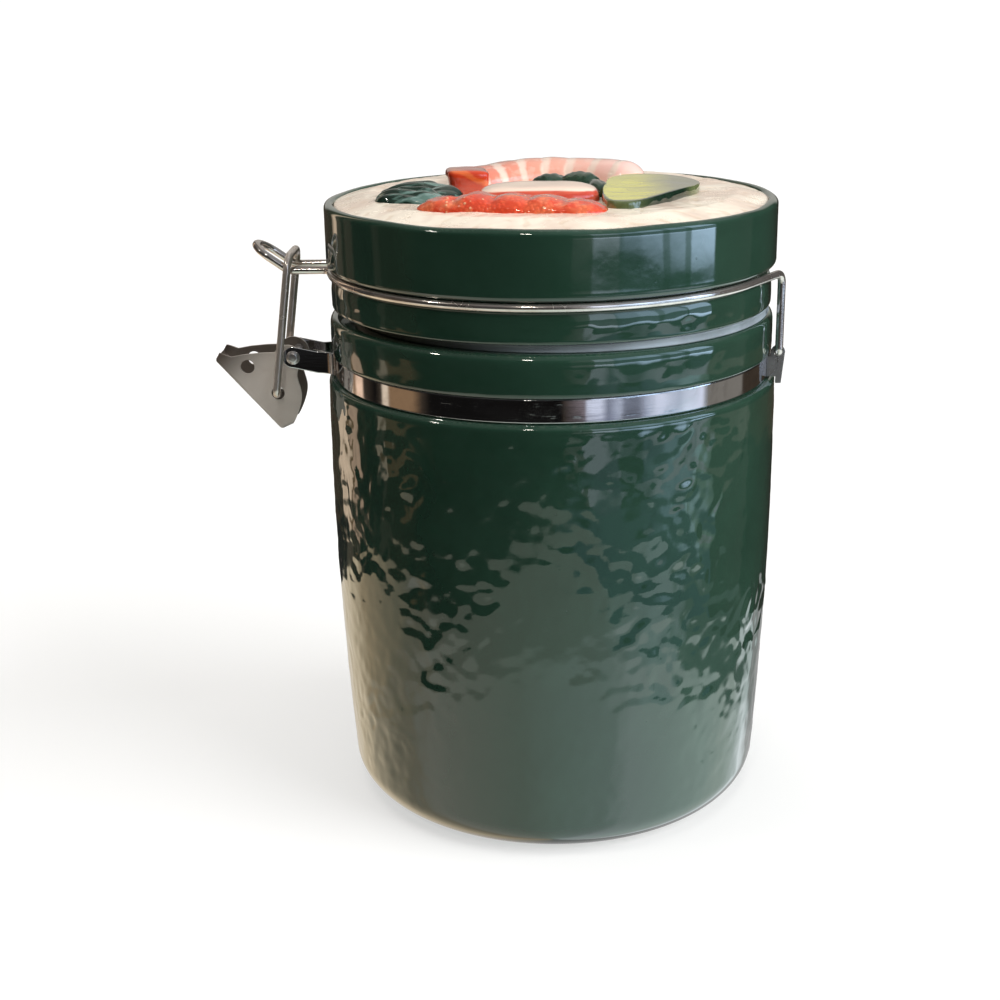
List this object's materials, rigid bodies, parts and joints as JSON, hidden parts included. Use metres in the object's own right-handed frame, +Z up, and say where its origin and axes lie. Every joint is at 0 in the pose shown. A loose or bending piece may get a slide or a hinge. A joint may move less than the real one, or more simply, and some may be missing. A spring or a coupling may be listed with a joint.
{
  "type": "wire-bail lidded canister",
  "caption": "Glazed ceramic food canister with a domed relief lid, rubber gasket, neck band, hinged lid wire and an over-centre lever and bail that clamp the lid shut.",
  "frame": {"origin": "centre of the jar's flat base, on the table", "axes": "+Z up along the jar's axis, +X towards the lid's hinge, -X towards the latch, -Y towards the camera"},
  "size_m": [0.1684, 0.1338, 0.1904],
  "materials": {
    "jar_body": "deep bottle-green gloss glaze over a softly hammered surface",
    "neck_band": "polished stainless strip",
    "hinge_bracket": "pressed stainless sheet",
    "latch_rivet": "polished domed heads",
    "latch_lever": "satin stainless sheet",
    "bail_wire": "polished stainless wire",
    "lid_wire": "polished stainless wire",
    "lid_gasket": "grey-white rubber, slightly glossy",
    "lid_shell": "deep bottle-green gloss glaze",
    "rice_bed": "cream-white glaze over fine grains",
    "filling_roe": "orange-red gloss glaze over fine beads",
    "filling_leaf": "dark green gloss glaze, folded leaves",
    "filling_slab": "coral glaze with a paler top",
    "filling_chunk": "orange-red gloss glaze",
    "filling_prawn": "pink glaze with white stripes",
    "filling_slice": "lime to grey-green glaze with a dark green skin",
    "filling_curl": "dark green gloss glaze"
  },
  "bodies": {
    "jar": {"jar_body": "jar_body", "neck_band": "neck_band", "hinge_bracket": "hinge_bracket", "latch_rivet": "latch_rivet"},
    "lid": {"lid_shell": "lid_shell", "lid_gasket": "lid_gasket", "lid_wire": "lid_wire", "rice_bed": "rice_bed", "filling_roe": "filling_roe", "filling_leaf": "filling_leaf", "filling_slab": "filling_slab", "filling_chunk": "filling_chunk", "filling_prawn": "filling_prawn", "filling_slice": "filling_slice", "filling_curl": "filling_curl"},
    "lever": {"latch_lever": "latch_lever"},
    "bail": {"bail_wire": "bail_wire"}
  },
  "joints": [
    {"name": "lid_hinge", "type": "hinge", "parent": "jar", "child": "lid", "pos_m": [0.06585, 0, 0.13885], "axis": [0, 1, 0], "range_deg": [0, 175]},
    {"name": "lever_pivot", "type": "hinge", "parent": "jar", "child": "lever", "pos_m": [-0.07705, 0, 0.1362], "axis": [0, 1, 0], "range_deg": [-26, 105]},
    {"name": "bail_swing", "type": "hinge", "parent": "lever", "child": "bail", "pos_m": [-0.08235, 0, 0.1251], "axis": [0, 1, 0], "range_deg": [-118, 30]}
  ],
  "couplings": [
    {"joint": "bail_swing", "follows": "lever_pivot", "ratio": -1.12}
  ]
}
